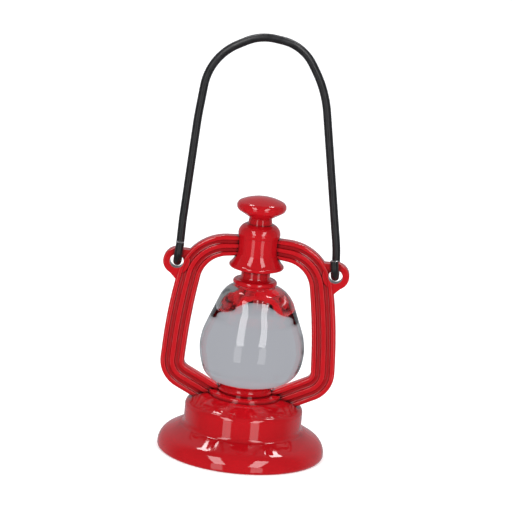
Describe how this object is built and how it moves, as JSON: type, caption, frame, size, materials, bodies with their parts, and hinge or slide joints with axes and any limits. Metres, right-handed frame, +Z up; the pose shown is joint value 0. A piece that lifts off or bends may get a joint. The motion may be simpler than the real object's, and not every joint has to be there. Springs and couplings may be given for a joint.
{
  "type": "miniature hurricane lantern",
  "caption": "Miniature hurricane oil lamp: round stepped tank, ribbed side frame with ears, clear globe, bell chimney with knob, and a swinging wire bail.",
  "frame": {"origin": "centre of the flat underside of the foot", "axes": "+Z up along the lamp's axis, X across the ribbed frame from ear to ear, -Y towards the viewer"},
  "size_m": [0.0196, 0.0178, 0.0447],
  "materials": {
    "red_enamel": "gloss red enamel over die-cast zinc",
    "plate_zinc": "dull pressed zinc",
    "screw_steel": "plated steel",
    "clear_acrylic": "solid clear acrylic, slightly uneven",
    "black_wire": "satin black enamel, bright cut ends"
  },
  "bodies": {
    "lamp": {"base_casting": "red_enamel", "base_plate": "plate_zinc", "centre_screw": "screw_steel", "lock_washer": "screw_steel", "side_frame": "red_enamel", "burner_collar": "red_enamel", "globe": "clear_acrylic", "globe_cap": "red_enamel", "chimney_bell": "red_enamel", "chimney_dome": "red_enamel", "top_knob": "red_enamel", "top_stud": "screw_steel"},
    "handle": {"bail": "black_wire"}
  },
  "joints": [
    {"name": "bail_hinge", "type": "hinge", "parent": "lamp", "child": "handle", "pos_m": [0, 0, 0.02111], "axis": [1, 0, 0], "range_deg": [-90, 90]}
  ]
}
